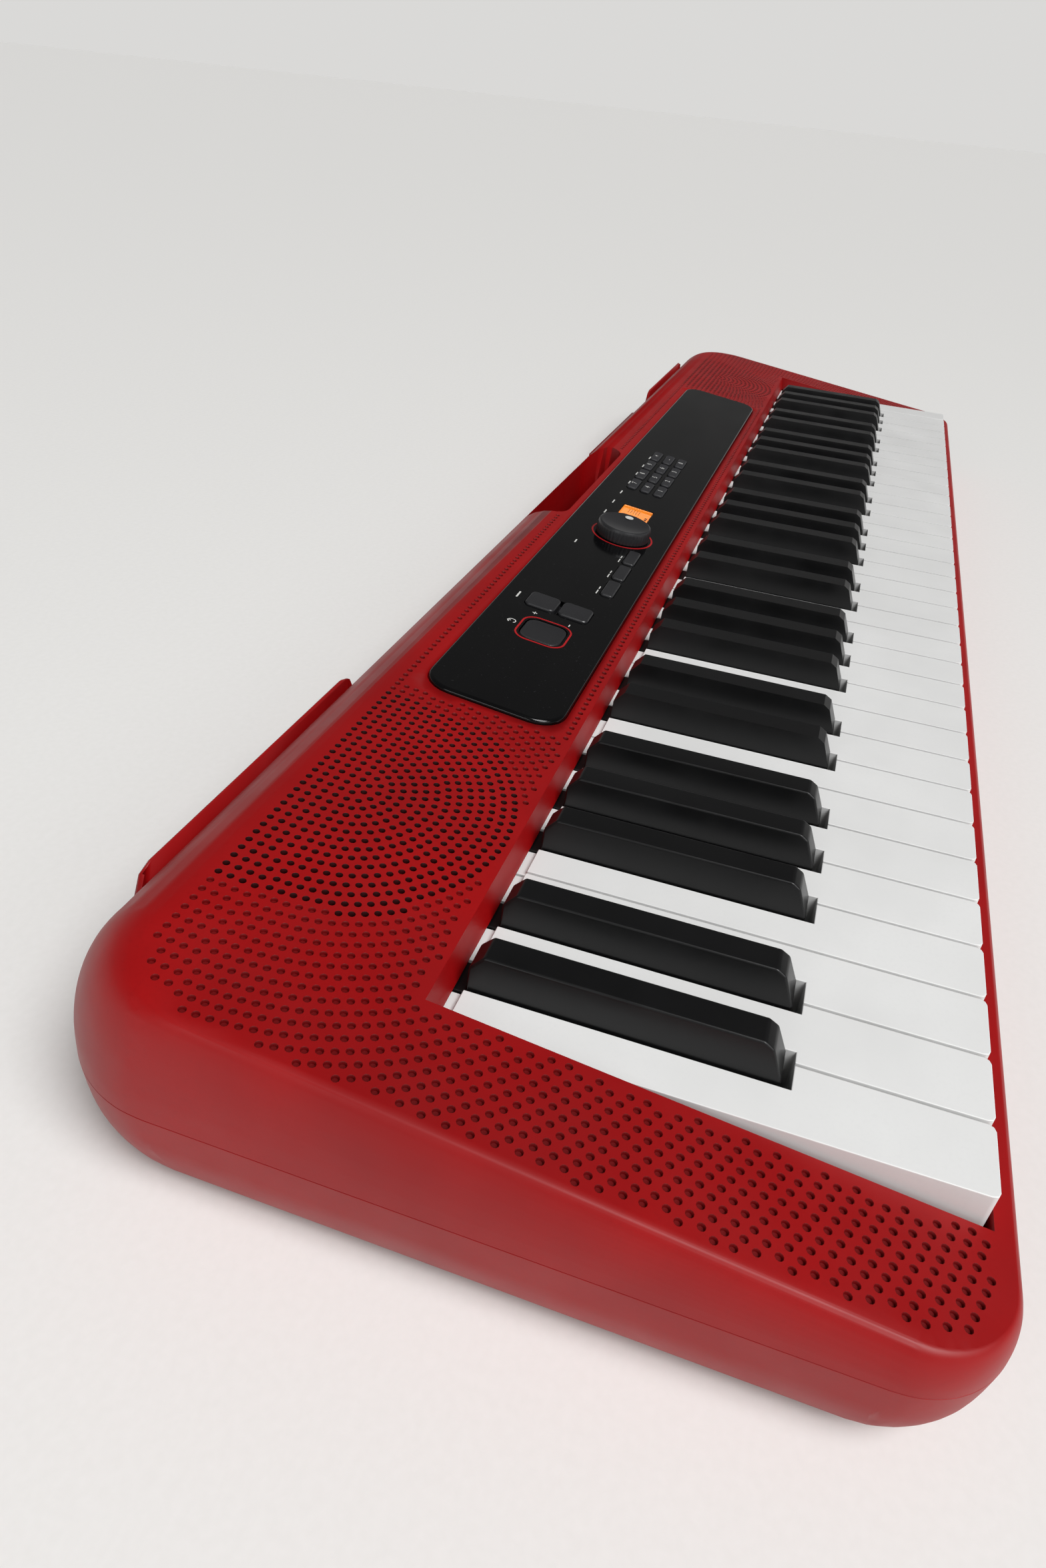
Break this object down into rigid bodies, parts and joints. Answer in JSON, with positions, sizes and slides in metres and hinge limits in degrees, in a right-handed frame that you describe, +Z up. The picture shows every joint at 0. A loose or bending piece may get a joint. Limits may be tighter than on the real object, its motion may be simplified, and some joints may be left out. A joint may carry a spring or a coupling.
{
  "type": "portable keyboard",
  "caption": "Portable keyboard in a rounded red casing, with full-size hinged keys, a gloss control panel, a dial, buttons, two perforated speaker decks and a carry handle hole.",
  "frame": {"origin": "on the table under the middle of the casing", "axes": "+X along the keys from the bass end to the treble end, +Y from the player to the rear, +Z up"},
  "size_m": [0.93, 0.256, 0.0778],
  "materials": {
    "red_abs": "satin red",
    "white_key_resin": "satin white",
    "black_key_resin": "satin black",
    "gloss_black_panel": "mirror-smooth black",
    "grey_silicone": "matte",
    "black_rubber": "matte",
    "circuit_board": "solder mask",
    "zinc_plated_steel": "zinc plated",
    "grey_abs": "moulded",
    "socket_nylon": "moulded",
    "red_felt": "felt",
    "clear_window": "clear",
    "lit_display": "lit orange"
  },
  "bodies": {
    "case": {"upper_case": "red_abs", "lower_case": "red_abs", "battery_contact_bass": "zinc_plated_steel", "battery_contact_treble": "zinc_plated_steel", "foot_front_bass": "black_rubber", "foot_front_treble": "black_rubber", "foot_rear_bass": "black_rubber", "foot_rear_treble": "black_rubber", "control_panel": "gloss_black_panel", "display_window": "clear_window", "display_module": "lit_display", "dial_encoder": "zinc_plated_steel", "panel_board": "circuit_board", "main_board": "circuit_board", "key_contact_board": "circuit_board", "phones_socket": "socket_nylon", "pedal_socket": "socket_nylon", "supply_socket": "socket_nylon", "data_socket": "socket_nylon", "speaker_bass": "socket_nylon", "speaker_treble": "socket_nylon", "key_chassis": "grey_abs", "key_hold_down_bar": "zinc_plated_steel", "key_stop_felt": "red_felt", "contact_rubber_strip": "black_rubber"},
    "dial_knob": {"dial_knob": "gloss_black_panel"},
    "power_button": {"power_button": "gloss_black_panel"},
    "volume_up_button": {"volume_up_button": "gloss_black_panel"},
    "volume_down_button": {"volume_down_button": "gloss_black_panel"},
    "function_button_1": {"function_button_1": "gloss_black_panel"},
    "function_button_2": {"function_button_2": "gloss_black_panel"},
    "function_button_3": {"function_button_3": "gloss_black_panel"},
    "number_keypad": {"number_keypad": "grey_silicone"},
    "battery_cover": {"battery_cover": "red_abs"},
    "key_1_c": {"key_1_c": "white_key_resin"},
    "key_1_c_sharp": {"key_1_c_sharp": "black_key_resin"},
    "key_1_d": {"key_1_d": "white_key_resin"},
    "key_1_d_sharp": {"key_1_d_sharp": "black_key_resin"},
    "key_1_e": {"key_1_e": "white_key_resin"},
    "key_1_f": {"key_1_f": "white_key_resin"},
    "key_1_f_sharp": {"key_1_f_sharp": "black_key_resin"},
    "key_1_g": {"key_1_g": "white_key_resin"},
    "key_1_g_sharp": {"key_1_g_sharp": "black_key_resin"},
    "key_1_a": {"key_1_a": "white_key_resin"},
    "key_1_a_sharp": {"key_1_a_sharp": "black_key_resin"},
    "key_1_b": {"key_1_b": "white_key_resin"},
    "keys_2_c_e_g_b": {"keys_2_c_e_g_b": "white_key_resin"},
    "keys_2_d_f_a": {"keys_2_d_f_a": "white_key_resin"},
    "keys_2_black": {"keys_2_black": "black_key_resin"},
    "keys_3_c_e_g_b": {"keys_3_c_e_g_b": "white_key_resin"},
    "keys_3_d_f_a": {"keys_3_d_f_a": "white_key_resin"},
    "keys_3_black": {"keys_3_black": "black_key_resin"},
    "keys_4_c_e_g_b": {"keys_4_c_e_g_b": "white_key_resin"},
    "keys_4_d_f_a": {"keys_4_d_f_a": "white_key_resin"},
    "keys_4_black": {"keys_4_black": "black_key_resin"},
    "keys_5_c_e_g_b": {"keys_5_c_e_g_b": "white_key_resin"},
    "keys_5_d_f_a": {"keys_5_d_f_a": "white_key_resin"},
    "keys_5_black": {"keys_5_black": "black_key_resin"},
    "key_top_c": {"key_top_c": "white_key_resin"}
  },
  "joints": [
    {"name": "dial_turn", "type": "hinge", "parent": "case", "child": "dial_knob", "pos_m": [-0.077, 0.05996, 0.06732], "axis": [0, -0.1219, 0.9925], "continuous": true},
    {"name": "battery_cover_lift", "type": "slide", "parent": "case", "child": "battery_cover", "axis": [0, 0, -1], "range_m": [0, 0.02]},
    {"name": "power_button_press", "type": "slide", "parent": "case", "child": "power_button", "axis": [0, 0.1219, -0.9925], "range_m": [0, 0.0007], "stiffness_N_per_m": 400, "springref_m": -0.002},
    {"name": "volume_up_button_press", "type": "slide", "parent": "case", "child": "volume_up_button", "axis": [0, 0.1219, -0.9925], "range_m": [0, 0.0007], "stiffness_N_per_m": 400, "springref_m": -0.002},
    {"name": "volume_down_button_press", "type": "slide", "parent": "case", "child": "volume_down_button", "axis": [0, 0.1219, -0.9925], "range_m": [0, 0.0007], "stiffness_N_per_m": 400, "springref_m": -0.002},
    {"name": "function_button_1_press", "type": "slide", "parent": "case", "child": "function_button_1", "axis": [0, 0.1219, -0.9925], "range_m": [0, 0.0007], "stiffness_N_per_m": 400, "springref_m": -0.002},
    {"name": "function_button_2_press", "type": "slide", "parent": "case", "child": "function_button_2", "axis": [0, 0.1219, -0.9925], "range_m": [0, 0.0007], "stiffness_N_per_m": 400, "springref_m": -0.002},
    {"name": "function_button_3_press", "type": "slide", "parent": "case", "child": "function_button_3", "axis": [0, 0.1219, -0.9925], "range_m": [0, 0.0007], "stiffness_N_per_m": 400, "springref_m": -0.002},
    {"name": "number_keypad_press", "type": "slide", "parent": "case", "child": "number_keypad", "axis": [0, 0.1219, -0.9925], "range_m": [0, 0.0007], "stiffness_N_per_m": 400, "springref_m": -0.002},
    {"name": "key_1_c_pivot", "type": "hinge", "parent": "case", "child": "key_1_c", "pos_m": [0, 0.045, 0.0445], "axis": [1, 0, 0], "range_deg": [0, 3.4], "stiffness_Nm_per_rad": 1, "springref_deg": -3.44},
    {"name": "key_1_c_sharp_pivot", "type": "hinge", "parent": "case", "child": "key_1_c_sharp", "pos_m": [0, 0.045, 0.0445], "axis": [1, 0, 0], "range_deg": [0, 3.4], "stiffness_Nm_per_rad": 1, "springref_deg": -3.44},
    {"name": "key_1_d_pivot", "type": "hinge", "parent": "case", "child": "key_1_d", "pos_m": [0, 0.045, 0.0445], "axis": [1, 0, 0], "range_deg": [0, 3.4], "stiffness_Nm_per_rad": 1, "springref_deg": -3.44},
    {"name": "key_1_d_sharp_pivot", "type": "hinge", "parent": "case", "child": "key_1_d_sharp", "pos_m": [0, 0.045, 0.0445], "axis": [1, 0, 0], "range_deg": [0, 3.4], "stiffness_Nm_per_rad": 1, "springref_deg": -3.44},
    {"name": "key_1_e_pivot", "type": "hinge", "parent": "case", "child": "key_1_e", "pos_m": [0, 0.045, 0.0445], "axis": [1, 0, 0], "range_deg": [0, 3.4], "stiffness_Nm_per_rad": 1, "springref_deg": -3.44},
    {"name": "key_1_f_pivot", "type": "hinge", "parent": "case", "child": "key_1_f", "pos_m": [0, 0.045, 0.0445], "axis": [1, 0, 0], "range_deg": [0, 3.4], "stiffness_Nm_per_rad": 1, "springref_deg": -3.44},
    {"name": "key_1_f_sharp_pivot", "type": "hinge", "parent": "case", "child": "key_1_f_sharp", "pos_m": [0, 0.045, 0.0445], "axis": [1, 0, 0], "range_deg": [0, 3.4], "stiffness_Nm_per_rad": 1, "springref_deg": -3.44},
    {"name": "key_1_g_pivot", "type": "hinge", "parent": "case", "child": "key_1_g", "pos_m": [0, 0.045, 0.0445], "axis": [1, 0, 0], "range_deg": [0, 3.4], "stiffness_Nm_per_rad": 1, "springref_deg": -3.44},
    {"name": "key_1_g_sharp_pivot", "type": "hinge", "parent": "case", "child": "key_1_g_sharp", "pos_m": [0, 0.045, 0.0445], "axis": [1, 0, 0], "range_deg": [0, 3.4], "stiffness_Nm_per_rad": 1, "springref_deg": -3.44},
    {"name": "key_1_a_pivot", "type": "hinge", "parent": "case", "child": "key_1_a", "pos_m": [0, 0.045, 0.0445], "axis": [1, 0, 0], "range_deg": [0, 3.4], "stiffness_Nm_per_rad": 1, "springref_deg": -3.44},
    {"name": "key_1_a_sharp_pivot", "type": "hinge", "parent": "case", "child": "key_1_a_sharp", "pos_m": [0, 0.045, 0.0445], "axis": [1, 0, 0], "range_deg": [0, 3.4], "stiffness_Nm_per_rad": 1, "springref_deg": -3.44},
    {"name": "key_1_b_pivot", "type": "hinge", "parent": "case", "child": "key_1_b", "pos_m": [0, 0.045, 0.0445], "axis": [1, 0, 0], "range_deg": [0, 3.4], "stiffness_Nm_per_rad": 1, "springref_deg": -3.44},
    {"name": "keys_2_c_e_g_b_pivot", "type": "hinge", "parent": "case", "child": "keys_2_c_e_g_b", "pos_m": [0, 0.045, 0.0445], "axis": [1, 0, 0], "range_deg": [0, 3.4], "stiffness_Nm_per_rad": 4, "springref_deg": -3.44},
    {"name": "keys_2_d_f_a_pivot", "type": "hinge", "parent": "case", "child": "keys_2_d_f_a", "pos_m": [0, 0.045, 0.0445], "axis": [1, 0, 0], "range_deg": [0, 3.4], "stiffness_Nm_per_rad": 3, "springref_deg": -3.44},
    {"name": "keys_2_black_pivot", "type": "hinge", "parent": "case", "child": "keys_2_black", "pos_m": [0, 0.045, 0.0445], "axis": [1, 0, 0], "range_deg": [0, 3.4], "stiffness_Nm_per_rad": 5, "springref_deg": -3.44},
    {"name": "keys_3_c_e_g_b_pivot", "type": "hinge", "parent": "case", "child": "keys_3_c_e_g_b", "pos_m": [0, 0.045, 0.0445], "axis": [1, 0, 0], "range_deg": [0, 3.4], "stiffness_Nm_per_rad": 4, "springref_deg": -3.44},
    {"name": "keys_3_d_f_a_pivot", "type": "hinge", "parent": "case", "child": "keys_3_d_f_a", "pos_m": [0, 0.045, 0.0445], "axis": [1, 0, 0], "range_deg": [0, 3.4], "stiffness_Nm_per_rad": 3, "springref_deg": -3.44},
    {"name": "keys_3_black_pivot", "type": "hinge", "parent": "case", "child": "keys_3_black", "pos_m": [0, 0.045, 0.0445], "axis": [1, 0, 0], "range_deg": [0, 3.4], "stiffness_Nm_per_rad": 5, "springref_deg": -3.44},
    {"name": "keys_4_c_e_g_b_pivot", "type": "hinge", "parent": "case", "child": "keys_4_c_e_g_b", "pos_m": [0, 0.045, 0.0445], "axis": [1, 0, 0], "range_deg": [0, 3.4], "stiffness_Nm_per_rad": 4, "springref_deg": -3.44},
    {"name": "keys_4_d_f_a_pivot", "type": "hinge", "parent": "case", "child": "keys_4_d_f_a", "pos_m": [0, 0.045, 0.0445], "axis": [1, 0, 0], "range_deg": [0, 3.4], "stiffness_Nm_per_rad": 3, "springref_deg": -3.44},
    {"name": "keys_4_black_pivot", "type": "hinge", "parent": "case", "child": "keys_4_black", "pos_m": [0, 0.045, 0.0445], "axis": [1, 0, 0], "range_deg": [0, 3.4], "stiffness_Nm_per_rad": 5, "springref_deg": -3.44},
    {"name": "keys_5_c_e_g_b_pivot", "type": "hinge", "parent": "case", "child": "keys_5_c_e_g_b", "pos_m": [0, 0.045, 0.0445], "axis": [1, 0, 0], "range_deg": [0, 3.4], "stiffness_Nm_per_rad": 4, "springref_deg": -3.44},
    {"name": "keys_5_d_f_a_pivot", "type": "hinge", "parent": "case", "child": "keys_5_d_f_a", "pos_m": [0, 0.045, 0.0445], "axis": [1, 0, 0], "range_deg": [0, 3.4], "stiffness_Nm_per_rad": 3, "springref_deg": -3.44},
    {"name": "keys_5_black_pivot", "type": "hinge", "parent": "case", "child": "keys_5_black", "pos_m": [0, 0.045, 0.0445], "axis": [1, 0, 0], "range_deg": [0, 3.4], "stiffness_Nm_per_rad": 5, "springref_deg": -3.44},
    {"name": "key_top_c_pivot", "type": "hinge", "parent": "case", "child": "key_top_c", "pos_m": [0, 0.045, 0.0445], "axis": [1, 0, 0], "range_deg": [0, 3.4], "stiffness_Nm_per_rad": 1, "springref_deg": -3.44}
  ]
}
